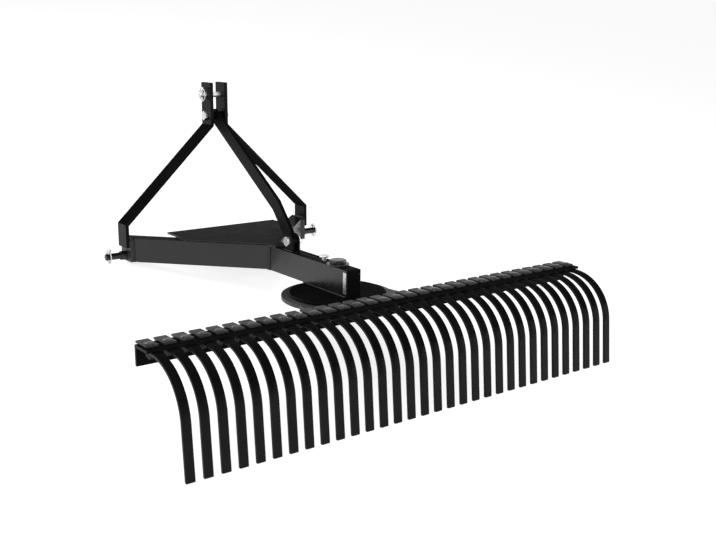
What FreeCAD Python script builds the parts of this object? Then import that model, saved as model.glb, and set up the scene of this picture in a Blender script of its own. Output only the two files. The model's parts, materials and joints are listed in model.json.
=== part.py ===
import FreeCAD, Part
import math
import os
import Sketcher

# A three-point-hitch landscape rake: a V-shaped frame with an A-frame mast, carrying a
# rake head of curved flat tines that swivels about a king bolt under the tongue.
#
# Every piece is drawn in the working frame: X to the right, Y forward to the tractor,
# Z up, origin at the middle of the tine tips. The whole rake is then tipped forward
# onto its hitch brackets, which is how it stands on a floor when it is unhitched.

doc = FreeCAD.newDocument("landscape_rake")

# ---------------------------------------------------------------- driving dimensions

DIMENSIONS = [
    ("tine_count", 32, "number of tines"),
    ("tines_per_group", 4, "tines that share a sub-part"),
    ("tine_pitch", 47.625, "spacing of the tines along the bar"),
    ("tine_width", 25, "width of the flat tine bar"),
    ("tine_thickness", 8, "thickness of the flat tine bar"),
    ("tine_straight", 130, "height of the bend's centre above the tips"),
    ("tine_bend", 142, "bend radius at the middle of the thickness"),
    ("tine_angle", 4, "rearward slope of the straight length in degrees"),
    ("tine_root", 55, "flat length past the bend"),
    ("bar_depth", 68, "top leg of the angle bar"),
    ("bar_height", 55, "front leg of the angle bar"),
    ("bar_wall", 8, "wall of the angle bar"),
    ("clamp_width", 34, "clamp plate along the bar"),
    ("clamp_depth", 60, "clamp plate across the bar"),
    ("clamp_overhang", 10, "clamp plate past the front of the bar"),
    ("clamp_thickness", 6, "thickness of the clamp plate"),
    ("tine_bolt", 12, "thread of a tine bolt"),
    ("tine_bolt_head", 4, "height of a tine bolt's low head"),
    ("tine_bolt_head_foot", 26, "diameter of that head at its foot"),
    ("tine_bolt_head_top", 15, "diameter of that head at its top"),
    ("tine_bolt_nut", 10, "height of a tine bolt's nut"),
    ("tine_bolt_flats", 19, "across the flats of its nut"),
    ("bolt_clearance", 0.5, "hole minus bolt, on diameter"),
    ("king_forward", 430, "king bolt ahead of the tine tips"),
    ("king_bolt", 30, "diameter of the king bolt"),
    ("king_flats", 46, "across the flats of its head and nut"),
    ("king_head", 12, "height of its head"),
    ("king_nut", 24, "height of its nut"),
    ("king_washer", 70, "diameter of its washers"),
    ("king_washer_thickness", 5, "thickness of its washers"),
    ("king_running", 0.1, "hole minus king bolt, on diameter"),
    ("disc_radius", 148, "radius of the pivot disc"),
    ("disc_thickness", 8, "thickness of the pivot disc"),
    ("swivel_thickness", 12, "thickness of the swivel plate"),
    ("swivel_spread", 400, "width of the swivel plate at the bar"),
    ("swivel_waist", 320, "width of its tapered part at the king bolt"),
    ("swivel_radius", 172, "radius of its round front"),
    ("swivel_gap", 0.3, "running gap under the pivot disc"),
    ("index_radius", 72, "index holes from the king bolt"),
    ("index_angle", 22.5, "angle between index holes"),
    ("index_count", 5, "number of index holes"),
    ("lock_pin", 16, "diameter of the lock pin"),
    ("lock_clearance", 1, "hole minus lock pin, on diameter"),
    ("lock_head", 32, "diameter of the lock pin's head"),
    ("lock_head_height", 5, "height of the lock pin's head"),
    ("lock_lift", 11, "lift of the withdrawn lock pin above the tongue"),
    ("tongue_width", 50, "width of the tongue tube"),
    ("tongue_height", 82, "height of the tongue tube and the arms"),
    ("tongue_wall", 5, "wall of the tongue tube"),
    ("tongue_bottom", 254, "underside of the tongue above the tips"),
    ("tongue_rear", 352, "rear end of the tongue ahead of the tips"),
    ("end_plate", 4, "thickness of the tongue's end plate"),
    ("fork_forward", 790, "where the arms leave the tongue's sides"),
    ("arm_width", 50, "width of an arm tube"),
    ("arm_wall", 5, "wall of an arm tube"),
    ("arm_angle", 42.5, "angle of an arm from straight ahead"),
    ("gusset_thickness", 6, "thickness of the gusset plate"),
    ("gusset_overlap", 50, "gusset plate behind the fork"),
    ("gusset_reach", 350, "gusset plate ahead of the fork"),
    ("gusset_half", 215, "half width of the gusset plate"),
    ("bracket_inside", 340, "inner face of a hitch bracket from the middle"),
    ("bracket_thickness", 14, "thickness of a hitch bracket"),
    ("bracket_length", 76, "length of a hitch bracket, front to back"),
    ("bracket_height", 82, "height of a hitch bracket"),
    ("bracket_corner", 10, "cut-off corners of a hitch bracket"),
    ("pin_height", 20, "lower hitch pin above the bracket's foot"),
    ("pin_diameter", 22, "lower hitch pin"),
    ("pin_length", 52, "free length of a lower hitch pin"),
    ("pin_collar", 30, "diameter of the pin's collar"),
    ("pin_collar_length", 23, "length of the pin's collar"),
    ("pin_inside", 22, "pin behind the bracket's outer face"),
    ("pin_fit", 0.1, "hole minus pin, on diameter"),
    ("cotter_from_end", 12, "linchpin hole from the pin's end"),
    ("cotter_diameter", 9, "diameter of a linchpin"),
    ("cotter_length", 46, "length of a linchpin"),
    ("cotter_head", 15, "diameter of a linchpin's head"),
    ("cotter_head_height", 10, "height of a linchpin's head"),
    ("cotter_clearance", 0.6, "hole minus linchpin, on diameter"),
    ("ring_radius", 21, "radius of a linchpin's ring"),
    ("ring_wire", 4, "wire of a linchpin's ring"),
    ("mast_width", 65, "width of the A-frame's flat bar"),
    ("mast_thickness", 12, "thickness of the A-frame's flat bar"),
    ("ear_gap", 44, "gap between the ears"),
    ("ear_top", 572, "top of the ears above the lower pins"),
    ("ear_length", 146, "length of an ear above its bend"),
    ("upper_hole_drop", 42, "upper ear hole under the top of the ears"),
    ("ear_hole_spacing", 72, "between the upper and the lower ear hole"),
    ("knee", 106, "lower bend above the lower pins"),
    ("mast_foot", 29, "bottom of the A-frame above the lower pins"),
    ("top_pin", 19, "diameter of the top link pin"),
    ("top_pin_fit", 0.6, "ear hole minus pin, on diameter"),
    ("top_pin_head", 32, "diameter of the top link pin's head"),
    ("top_pin_head_length", 8, "length of the top link pin's head"),
    ("top_pin_free", 26, "top link pin past the far ear"),
    ("spacer_outer", 27, "outer diameter of an ear spacer"),
    ("spacer_clearance", 0.6, "spacer bore minus bolt, on diameter"),
    ("spacer_end_gap", 0.2, "end play of a spacer between an ear and the brace"),
    ("ear_bolt_flats", 28.6, "across the flats of the ear bolt"),
    ("ear_bolt_head", 12, "height of the ear bolt's head and nut"),
    ("brace_width", 45, "width of the brace's flat bar"),
    ("brace_thickness", 12, "thickness of the brace's flat bar"),
    ("brace_bend_ahead", 92, "bend of the brace ahead of its foot bolt"),
    ("brace_bend_rise", 134, "bend of the brace above the tongue"),
    ("brace_foot_rise", 30, "foot bolt of the brace above the tongue"),
    ("lug_width", 50, "width of the lugs on each side of the brace's foot"),
    ("lug_behind", 34, "gap between the lugs and the gusset plate"),
    ("lug_thickness", 8, "thickness of a lug"),
    ("lug_gap", 0.2, "gap between the brace and a lug"),
    ("brace_bolt", 16, "foot bolt of the brace"),
    ("brace_bolt_flats", 27, "across the flats of its head and nut"),
    ("brace_bolt_head", 11, "height of its head and nut"),
    ("frame_angle", 1, "slope of the tongue up to the front in degrees"),
]

sheet = doc.addObject("Spreadsheet::Sheet", "sizes")
for row, (alias, value, note) in enumerate(DIMENSIONS, start=1):
    sheet.set("A%d" % row, note)
    sheet.set("B%d" % row, str(value))
    sheet.setAlias("B%d" % row, alias)
doc.recompute()


def size(alias):
    """The value of one cell."""
    return float(getattr(sheet, alias))


def cell(formula):
    """An expression over the cells: each alias in it is read from the sheet."""
    for alias, _value, _note in sorted(DIMENSIONS, key=lambda entry: -len(entry[0])):
        formula = formula.replace("<%s>" % alias, "sizes." + alias)
    return formula


# Heights and places that several pieces share, as expressions over the cells.
TINE_LEAN = "(<tine_angle> * 1 deg)"
SHANK_TOP = "(<tine_straight> + <tine_bend> * sin(%s))" % TINE_LEAN
TIP_FORWARD = "(<tine_bend> * (1 - cos(%s)) - %s * tan(%s))" % (TINE_LEAN, SHANK_TOP, TINE_LEAN)
TIP_HALF = "(<tine_thickness> / 2 / cos(%s))" % TINE_LEAN
ROOT_TOP = "(<tine_straight> + <tine_bend> + <tine_thickness> / 2)"
ROOT_UNDERSIDE = "(%s - <tine_thickness>)" % ROOT_TOP
BAR_TOP = "(%s + <bar_wall>)" % ROOT_TOP
BAR_LENGTH = "(<tine_count> * <tine_pitch>)"
BOLT_LINE = "(<tine_bend> + <bar_depth> / 2)"
CLAMP_TOP = "(%s + <clamp_thickness>)" % BAR_TOP
TONGUE_TOP = "(<tongue_bottom> + <tongue_height>)"
DISC_UNDERSIDE = "(<tongue_bottom> - <disc_thickness>)"
SWIVEL_TOP = "(%s - <swivel_gap>)" % DISC_UNDERSIDE
SWIVEL_UNDERSIDE = "(%s - <swivel_thickness>)" % SWIVEL_TOP
BAR_FRONT = "(<tine_bend> + <bar_depth>)"
FORK_APEX = "(<fork_forward> - <tongue_width> / 2 / tan(<arm_angle> * 1 deg))"
BRACKET_OUTSIDE = "(<bracket_inside> + <bracket_thickness>)"
BRACKET_REAR = "(%s + <bracket_inside> / tan(<arm_angle> * 1 deg))" % FORK_APEX
BRACKET_MIDDLE = "(%s + <bracket_length> / 2)" % BRACKET_REAR
PIN_UP = "(<tongue_bottom> + <pin_height>)"
PIN_TIP = "(%s + <pin_collar_length> + <pin_length>)" % BRACKET_OUTSIDE
EAR_CENTRE = "((<ear_gap> + <mast_thickness>) / 2)"
MAST_FOOT_CENTRE = "(%s + <mast_thickness> / 2)" % BRACKET_OUTSIDE
EAR_OUTSIDE = "(<ear_gap> / 2 + <mast_thickness>)"
EAR_BOTTOM = "(<ear_top> - <ear_length>)"
UPPER_HOLE = "(<ear_top> - <upper_hole_drop>)"
LOWER_HOLE = "(%s - <ear_hole_spacing>)" % UPPER_HOLE
BRACE_HALF = "(<brace_thickness> / 2)"
LUG_OUTSIDE = "(%s + <lug_gap> + <lug_thickness>)" % BRACE_HALF
LUG_FRONT = "(<fork_forward> - <gusset_overlap> - <lug_behind>)"
BRACE_FOOT = "(%s - <lug_width> / 2)" % LUG_FRONT


def number(formula):
    """The present value of an expression over the cells."""
    return float(sheet.evalExpression(cell(formula)))


# ------------------------------------------------------------------ building blocks

ACROSS = FreeCAD.Rotation(FreeCAD.Vector(0, 1, 0), 90)
UPRIGHT = FreeCAD.Rotation()
FORWARD = FreeCAD.Rotation(FreeCAD.Vector(1, 0, 0), -90)


def bind(item, **formulas):
    """Bind properties to expressions; a double underscore stands for a dot."""
    for name, formula in formulas.items():
        item.setExpression(name.replace("__", "."), cell(str(formula)))
    return item


def at(item, x=0, y=0, z=0, turn=None):
    """Place an object by three expressions and a rotation."""
    item.Placement.Rotation = turn or UPRIGHT
    return bind(item, Placement__Base__x=x, Placement__Base__y=y, Placement__Base__z=z)


def block(name, length, width, height, x, y, z):
    """A box whose low corner is at x, y, z."""
    item = doc.addObject("Part::Box", name)
    return at(bind(item, Length=length, Width=width, Height=height), x, y, z)


def rod(name, diameter, length, x, y, z, turn=None):
    """A round bar that starts at x, y, z."""
    item = doc.addObject("Part::Cylinder", name)
    return at(bind(item, Radius="(%s) / 2" % diameter, Height=length), x, y, z, turn)


def low_head(name, foot, top, height, x, y, z):
    """A low bolt head that narrows upwards from x, y, z."""
    item = doc.addObject("Part::Cone", name)
    return at(bind(item, Radius1="(%s) / 2" % foot, Radius2="(%s) / 2" % top,
                   Height=height), x, y, z)


def hexagon(name, flats, height, x, y, z, turn=None):
    """A bolt head or nut that starts at x, y, z."""
    item = doc.addObject("Part::Prism", name)
    item.Polygon = 6
    return at(bind(item, Circumradius="(%s) / sqrt(3)" % flats, Height=height), x, y, z, turn)


def cut(name, base, *tools):
    """Base less every tool."""
    tool = tools[0] if len(tools) == 1 else fuse(name + "_tools", *tools)
    item = doc.addObject("Part::Cut", name)
    item.Base, item.Tool = base, tool
    return item


def fuse(name, *shapes):
    """Several shapes joined into one object."""
    item = doc.addObject("Part::MultiFuse", name)
    item.Shapes = list(shapes)
    item.Refine = True
    return item


def plane(body, role):
    """One of a body's own origin planes."""
    return next(feature for feature in body.Origin.OriginFeatures if feature.Role == role)


def sketch_on(body, name, role):
    """An empty sketch on one of a body's origin planes."""
    sketch = body.newObject("Sketcher::SketchObject", name)
    sketch.AttachmentSupport = [(plane(body, role), "")]
    sketch.MapMode = "FlatFace"
    return sketch


def pin_point(sketch, line, end, x, y):
    """Fix one end of a line at x, y, bound to the cells."""
    for kind, formula in (("DistanceX", x), ("DistanceY", y)):
        value = number(formula)
        index = sketch.addConstraint(Sketcher.Constraint(kind, -1, 1, line, end, value))
        sketch.setExpression("Constraints[%d]" % index, cell(formula))


def outline(sketch, points, closed=True):
    """A chain of straight lines through points given as pairs of expressions."""
    places = [FreeCAD.Vector(number(x), number(y), 0) for x, y in points]
    ends = places[1:] + places[:1] if closed else places[1:]
    lines = [sketch.addGeometry(Part.LineSegment(a, b), False) for a, b in zip(places, ends)]
    for first, second in zip(lines, lines[1:]):
        sketch.addConstraint(Sketcher.Constraint("Coincident", first, 2, second, 1))
    if closed:
        sketch.addConstraint(Sketcher.Constraint("Coincident", lines[-1], 2, lines[0], 1))
    for line, (x, y) in zip(lines, points):
        pin_point(sketch, line, 1, x, y)
    if not closed:
        pin_point(sketch, lines[-1], 2, *points[-1])
    return lines


def pad(name, role, points, thickness, rise="0"):
    """A flat plate with straight edges, drawn at a height over one of its own planes."""
    body = doc.addObject("PartDesign::Body", name)
    sketch = sketch_on(body, name + "_outline", role)
    sketch.setExpression("AttachmentOffset.Base.z", cell(rise))
    outline(sketch, points)
    plate = body.newObject("PartDesign::Pad", name + "_pad")
    plate.Profile = sketch
    bind(plate, Length=thickness)
    return body


def swept_bar(name, path_role, path, profile_role, profile, transition, rise="0"):
    """A bar of one section swept along a path that starts on the profile's plane."""
    body = doc.addObject("PartDesign::Body", name)
    spine = sketch_on(body, name + "_path", path_role)
    path(spine)
    section = sketch_on(body, name + "_section", profile_role)
    section.setExpression("AttachmentOffset.Base.z", cell(rise))
    outline(section, profile)
    pipe = body.newObject("PartDesign::AdditivePipe", name + "_sweep")
    pipe.Profile = section
    pipe.Spine = spine
    pipe.Transition = transition
    return body


# ------------------------------------------------- the sloping frame, the parked stand

# The swivel plate and all that it carries slope up from the top corner of the rake bar.
slope = FreeCAD.Rotation(FreeCAD.Vector(1, 0, 0), size("frame_angle"))
corner = FreeCAD.Vector(0, number(BAR_FRONT), number(SWIVEL_TOP))
sloped = FreeCAD.Placement(corner - slope.multVec(corner), slope)

# Parked, the rake rests on the front edges of the tine tips and the front lower corners
# of the hitch brackets, so it leans forward by this angle.
FOOT_FORWARD = "(%s + <bracket_length>)" % BRACKET_REAR
foot_corner = sloped.multVec(FreeCAD.Vector(0, number(FOOT_FORWARD), size("tongue_bottom")))
tip_edge = number("%s + %s" % (TIP_FORWARD, TIP_HALF))
park_angle = math.degrees(math.atan2(foot_corner.z, foot_corner.y - tip_edge))
tip = FreeCAD.Rotation(FreeCAD.Vector(1, 0, 0), -park_angle)
lowest = tip.multVec(FreeCAD.Vector(0, tip_edge, 0)).z
parked = FreeCAD.Placement(FreeCAD.Vector(0, 0, -lowest), tip)

kept = []


def keep(node, item, placement=None):
    """Name a finished piece and stand it in the parked position."""
    item.Label = node
    place = placement or FreeCAD.Placement()
    item.Placement = parked.multiply(place).multiply(item.Placement)
    kept.append(item)
    return item


def keep_sloped(node, item, placement=None):
    """Keep a piece of the sloping frame."""
    return keep(node, item, sloped.multiply(placement or FreeCAD.Placement()))


# ----------------------------------------------------------------------- the tines


def tine_path(sketch):
    """Up and a little forward from the tip, round to the front, and the flat root."""
    centre = FreeCAD.Vector(number("<tine_bend>"), number("<tine_straight>"), 0)
    radius, lean = number("<tine_bend>"), math.radians(size("tine_angle"))
    bend_top = centre + FreeCAD.Vector(0, radius, 0)
    bend_foot = centre + FreeCAD.Vector(-radius * math.cos(lean), radius * math.sin(lean), 0)
    root_end = bend_top + FreeCAD.Vector(number("<tine_root>"), 0, 0)
    shank = sketch.addGeometry(Part.LineSegment(
        FreeCAD.Vector(number(TIP_FORWARD), 0, 0), bend_foot), False)
    circle = Part.Circle(centre, FreeCAD.Vector(0, 0, 1), radius)
    bend = sketch.addGeometry(Part.ArcOfCircle(circle, math.pi / 2, math.pi - lean), False)
    root = sketch.addGeometry(Part.LineSegment(bend_top, root_end), False)
    pin_point(sketch, shank, 1, TIP_FORWARD, "0")
    pin_point(sketch, bend, 3, "<tine_bend>", "<tine_straight>")
    sketch.addConstraint(Sketcher.Constraint("Tangent", shank, 2, bend, 2))
    sketch.addConstraint(Sketcher.Constraint("Tangent", bend, 1, root, 1))
    sketch.addConstraint(Sketcher.Constraint("Horizontal", root))
    for kind, item, formula in (("Radius", bend, "<tine_bend>"),
                                ("DistanceX", root, "<tine_root>")):
        ends = (item, number(formula)) if kind == "Radius" else (item, 1, item, 2, number(formula))
        index = sketch.addConstraint(Sketcher.Constraint(kind, *ends))
        sketch.setExpression("Constraints[%d]" % index, cell(formula))


def tine_middle(index):
    """The place of one tine along the bar."""
    return "((%d + 0.5) - <tine_count> / 2) * <tine_pitch>" % index


def tine_group(node, first):
    """Neighbouring tines, each with its bolt hole through the root."""
    half_width = "<tine_width> / 2"
    rear, front = "%s - %s" % (TIP_FORWARD, TIP_HALF), "%s + %s" % (TIP_FORWARD, TIP_HALF)
    section = [("-" + half_width, rear), (half_width, rear),
               (half_width, front), ("-" + half_width, front)]
    tines, holes = [], []
    last = min(first + int(size("tines_per_group")), int(size("tine_count")))
    for number_along in range(first, last):
        name = "%s_%d" % (node, number_along)
        bar = swept_bar(name, "YZ_Plane", tine_path, "XY_Plane", section, "Transformed")
        middle = tine_middle(number_along)
        tines.append(at(bar, middle))
        holes.append(rod(name + "_hole", "<tine_bolt> + <bolt_clearance>",
                         "3 * <tine_thickness>", middle, BOLT_LINE,
                         "%s - <tine_thickness>" % ROOT_UNDERSIDE))
    keep(node, cut(node, fuse(node + "_bars", *tines), fuse(node + "_holes", *holes)))


for group, first_tine in enumerate(range(0, int(size("tine_count")),
                                         int(size("tines_per_group"))), start=1):
    tine_group("tine_group_%d" % group, first_tine)


# ---------------------------------------------------------- the bar and its clamps

def along_bar(maker, name):
    """One copy of a small piece at every tine, as a list."""
    return [maker("%s_%d" % (name, index), tine_middle(index))
            for index in range(int(size("tine_count")))]


def rake_bar():
    """An angle bar: the tine roots sit under its top leg, its front leg hangs down."""
    outer = block("bar_outer", BAR_LENGTH, "<bar_depth>", "<bar_height>",
                  "-%s / 2" % BAR_LENGTH, "<tine_bend>", "%s - <bar_height>" % BAR_TOP)
    inner = block("bar_inner", BAR_LENGTH, "<bar_depth> - <bar_wall>",
                  "<bar_height> - <bar_wall>", "-%s / 2" % BAR_LENGTH, "<tine_bend>",
                  "%s - <bar_height>" % BAR_TOP)
    holes = along_bar(lambda name, x: rod(name, "<tine_bolt> + <bolt_clearance>",
                                          "3 * <bar_wall>", x, BOLT_LINE,
                                          "%s - <bar_wall>" % ROOT_TOP), "bar_hole")
    keep("rake_bar", cut("rake_bar", outer, inner, *holes))


def clamp_plates():
    """A small plate on top of the bar over each tine."""
    plates = along_bar(lambda name, x: block(
        name, "<clamp_width>", "<clamp_depth>", "<clamp_thickness>",
        "%s - <clamp_width> / 2" % x, "%s + <clamp_overhang> - <clamp_depth>" % BAR_FRONT,
        BAR_TOP), "clamp")
    holes = along_bar(lambda name, x: rod(name, "<tine_bolt> + <bolt_clearance>",
                                          "3 * <clamp_thickness>", x, BOLT_LINE,
                                          "%s - <clamp_thickness>" % BAR_TOP), "clamp_hole")
    keep("tine_clamp_plates", cut("tine_clamp_plates", fuse("clamps", *plates),
                                  fuse("clamp_holes", *holes)))


def tine_bolts():
    """A bolt down through each clamp plate, the bar and the tine, with its nut below."""
    foot = "(%s - <tine_bolt_nut>)" % ROOT_UNDERSIDE
    pieces = along_bar(lambda name, x: low_head(
        name, "<tine_bolt_head_foot>", "<tine_bolt_head_top>", "<tine_bolt_head>",
        x, BOLT_LINE, CLAMP_TOP), "bolt_head")
    pieces += along_bar(lambda name, x: rod(name, "<tine_bolt>",
                                            "%s - %s" % (CLAMP_TOP, foot),
                                            x, BOLT_LINE, foot), "bolt_shank")
    pieces += along_bar(lambda name, x: hexagon(name, "<tine_bolt_flats>", "<tine_bolt_nut>",
                                                x, BOLT_LINE, foot), "bolt_nut")
    keep("tine_bolts", fuse("tine_bolts", *pieces))


rake_bar()
clamp_plates()
tine_bolts()


# -------------------------------------------------------------------- the turntable

def round_hole(name, diameter, forward, across="0"):
    """A tool that cuts an upright hole through the whole turntable stack."""
    return rod(name, diameter, "2 * %s" % TONGUE_TOP, across, forward, "0")


KING_HOLE = "<king_bolt> + <king_running>"
LOCK_HOLE = "<lock_pin> + <lock_clearance>"
LOCK_LINE = "(<king_forward> + <index_radius>)"


def swivel_plate():
    """The plate of the rake head: round in front, spreading back to the bar."""
    disc = rod("swivel_round", "2 * <swivel_radius>", "<swivel_thickness>", "0",
               "<king_forward>", SWIVEL_UNDERSIDE)
    wing = pad("swivel_wing", "XY_Plane",
               [("-<swivel_spread> / 2", BAR_FRONT), ("<swivel_spread> / 2", BAR_FRONT),
                ("<swivel_waist> / 2", "<king_forward>"),
                ("-<swivel_waist> / 2", "<king_forward>")],
               "<swivel_thickness>", SWIVEL_UNDERSIDE)
    holes = [round_hole("swivel_bore", KING_HOLE, "<king_forward>")]
    for index in range(int(size("index_count"))):
        turn = "((%d - (<index_count> - 1) / 2) * <index_angle> * 1 deg)" % index
        holes.append(round_hole("index_hole_%d" % index, LOCK_HOLE,
                                "<king_forward> + <index_radius> * cos(%s)" % turn,
                                "<index_radius> * sin(%s)" % turn))
    keep_sloped("swivel_plate", cut("swivel_plate", fuse("swivel_blank", disc, wing), *holes))


def pivot_disc():
    """The round plate under the tongue that the rake head turns against."""
    disc = rod("disc_round", "2 * <disc_radius>", "<disc_thickness>", "0",
               "<king_forward>", DISC_UNDERSIDE)
    keep_sloped("pivot_disc", cut("pivot_disc", disc,
                                  round_hole("disc_bore", KING_HOLE, "<king_forward>"),
                                  round_hole("disc_lock_hole", LOCK_HOLE, LOCK_LINE)))


def king_bolt():
    """A large bolt down through the tongue, the disc and the swivel plate."""
    washer_foot = "(%s - <king_washer_thickness>)" % SWIVEL_UNDERSIDE
    foot = "(%s - <king_nut>)" % washer_foot
    seat = "(%s + <king_washer_thickness>)" % TONGUE_TOP
    keep_sloped("king_bolt", fuse(
        "king_bolt",
        hexagon("king_head", "<king_flats>", "<king_head>", "0", "<king_forward>", seat),
        rod("king_top_washer", "<king_washer>", "<king_washer_thickness>", "0",
            "<king_forward>", TONGUE_TOP),
        rod("king_shank", "<king_bolt>", "%s - %s" % (seat, foot), "0", "<king_forward>", foot),
        rod("king_low_washer", "<king_washer>", "<king_washer_thickness> - <swivel_gap>", "0",
            "<king_forward>", washer_foot),
        hexagon("king_nut", "<king_flats>", "<king_nut>", "0", "<king_forward>", foot)))


def lock_pin():
    """The pin that drops into an index hole, lifted clear so that the head can turn."""
    foot = "(%s + <swivel_gap>)" % SWIVEL_TOP
    head = "(%s + <lock_lift>)" % TONGUE_TOP
    keep_sloped("lock_pin", fuse(
        "lock_pin",
        rod("lock_shank", "<lock_pin>", "%s - %s" % (head, foot), "0", LOCK_LINE, foot),
        rod("lock_knob", "<lock_head>", "<lock_head_height>", "0", LOCK_LINE, head)))


swivel_plate()
pivot_disc()
king_bolt()
lock_pin()


# ------------------------------------------------------------- the tongue and arms

SIDES = (("left", -1), ("right", 1))
ARM_TURN = "(<arm_angle> * 1 deg)"


def arm_box(name, side, inset):
    """A long box on one arm's line, its walls moved in by an inset.

    The outer face of the arm without inset passes through the fork's apex.
    """
    item = doc.addObject("Part::Box", name)
    offset = "(%s)" % inset if side < 0 else "(%s - <arm_width>)" % inset
    item.Placement.Rotation = FreeCAD.Rotation(FreeCAD.Vector(0, 0, 1),
                                               -side * size("arm_angle"))
    return bind(item,
                Width="2 * <bracket_inside> / sin(%s)" % ARM_TURN,
                Length="<arm_width> - 2 * %s" % inset,
                Height="<tongue_height> - 2 * %s" % inset,
                Placement__Base__x="%s * cos(%s)" % (offset, ARM_TURN),
                Placement__Base__y="%s - %d * %s * sin(%s)" % (FORK_APEX, side, offset, ARM_TURN),
                Placement__Base__z="<tongue_bottom> + %s" % inset)


def arm_blank(name, side):
    """The solid envelope of one arm, from the middle plane to its bracket."""
    slab = block("%s_slab" % name, "<bracket_inside>", "3 * %s" % BRACKET_REAR,
                 "2 * %s" % TONGUE_TOP, "0" if side > 0 else "-<bracket_inside>", "0", "0")
    blank = doc.addObject("Part::Common", "%s_blank" % name)
    blank.Base, blank.Tool = arm_box(name + "_outer", side, "0"), slab
    return blank


def tongue_and_arms():
    """The tongue tube, its end plate and the two arm tubes that it forks into."""
    blanks = []
    for word, side in SIDES:
        name = "arm_" + word
        blanks.append(arm_blank(name, side))
        keep_sloped("arm_tube_" + word, cut("arm_tube_" + word, blanks[-1],
                                            arm_box(name + "_hollow", side, "<arm_wall>")))
    tube = block("tongue_outer", "<tongue_width>", "<fork_forward> - <tongue_rear>",
                 "<tongue_height>", "-<tongue_width> / 2", "<tongue_rear>", "<tongue_bottom>")
    hollow = block("tongue_hollow", "<tongue_width> - 2 * <tongue_wall>",
                   "<fork_forward>", "<tongue_height> - 2 * <tongue_wall>",
                   "<tongue_wall> - <tongue_width> / 2", "<tongue_rear>",
                   "<tongue_bottom> + <tongue_wall>")
    keep_sloped("tongue_tube", cut("tongue_tube", tube, hollow, *blanks,
                                   round_hole("tongue_king_hole", KING_HOLE, "<king_forward>"),
                                   round_hole("tongue_lock_hole", LOCK_HOLE, LOCK_LINE)))
    half, foot, top = "<tongue_width> / 2", "<tongue_bottom>", TONGUE_TOP
    corners = [("-" + half, foot), (half, foot), (half, top), ("-" + half, top)]
    keep_sloped("tongue_end_plate", pad("tongue_end_plate", "XZ_Plane", corners,
                                        "<end_plate>", "-<tongue_rear>"))


def gusset_plate():
    """The plate over the fork, as wide as the arms' outer edges at its wide end."""
    wide = "%s + <gusset_half> / tan(%s)" % (FORK_APEX, ARM_TURN)
    right = [("<tongue_width> / 2", "<fork_forward> - <gusset_overlap>"),
             ("<tongue_width> / 2", "<fork_forward>"),
             ("<gusset_half>", wide),
             ("<gusset_half>", "<fork_forward> + <gusset_reach>")]
    left = [("-(%s)" % x, y) for x, y in reversed(right)]
    keep_sloped("fork_gusset", pad("fork_gusset", "XY_Plane", right + left,
                                   "<gusset_thickness>", TONGUE_TOP))


# ----------------------------------------------------------- the brackets and pins

def across_rod(name, diameter, side, near, far, y, z):
    """A round bar along X between two distances from the middle, on one side."""
    start = near if side > 0 else "-(%s)" % far
    return rod(name, diameter, "(%s) - (%s)" % (far, near), start, y, z, ACROSS)


def hitch_bracket(word, side):
    """The upright plate on the end of an arm, with its pin hole."""
    rear, front = BRACKET_REAR, FOOT_FORWARD
    foot, top = "<tongue_bottom>", "(<tongue_bottom> + <bracket_height>)"
    points = [(rear, foot), (front, foot), (front, "%s - <bracket_corner>" % top),
              ("%s - <bracket_corner>" % front, top), ("%s + <bracket_corner>" % rear, top),
              (rear, "%s - <bracket_corner>" % top)]
    inner = "<bracket_inside>" if side > 0 else "-%s" % BRACKET_OUTSIDE
    plate = pad("bracket_plate_" + word, "YZ_Plane", points, "<bracket_thickness>", inner)
    hole = across_rod("bracket_hole_" + word, "<pin_diameter> + <pin_fit>", side,
                      "0", "2 * %s" % BRACKET_OUTSIDE, BRACKET_MIDDLE, PIN_UP)
    node = "hitch_bracket_" + word
    keep_sloped(node, cut(node, plate, hole))


def lower_pin(word, side):
    """The pin that a tractor's lower link goes on, with a collar against the bracket."""
    node = "lower_hitch_pin_" + word
    shank = across_rod(node + "_shank", "<pin_diameter>", side,
                       "%s - <pin_inside>" % BRACKET_OUTSIDE, PIN_TIP, BRACKET_MIDDLE, PIN_UP)
    collar = across_rod(node + "_collar", "<pin_collar>", side, BRACKET_OUTSIDE,
                        "%s + <pin_collar_length>" % BRACKET_OUTSIDE, BRACKET_MIDDLE, PIN_UP)
    hole = rod(node + "_hole", "<cotter_diameter> + <cotter_clearance>",
               "2 * <pin_diameter>", "%d * (%s - <cotter_from_end>)" % (side, PIN_TIP),
               BRACKET_MIDDLE, "%s - <pin_diameter>" % PIN_UP)
    keep_sloped(node, cut(node, fuse(node + "_bar", shank, collar), hole))


def linchpin(node, x, y, z, placement=None):
    """A short upright pin with a head and a spring ring round the pin that it locks."""
    shank = rod(node + "_shank", "<cotter_diameter>", "<cotter_length>",
                x, y, "%s - <cotter_length> / 2" % z)
    head = rod(node + "_head", "<cotter_head>", "<cotter_head_height>",
               x, y, "%s + <ring_radius> - <cotter_head_height> / 2" % z)
    ring = doc.addObject("Part::Torus", node + "_ring")
    bind(ring, Radius1="<ring_radius>", Radius2="<ring_wire> / 2")
    at(ring, x, y, z, ACROSS)
    keep_sloped(node, fuse(node, shank, head, ring), placement)


# ----------------------------------------------------------------- the A-frame mast

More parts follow.
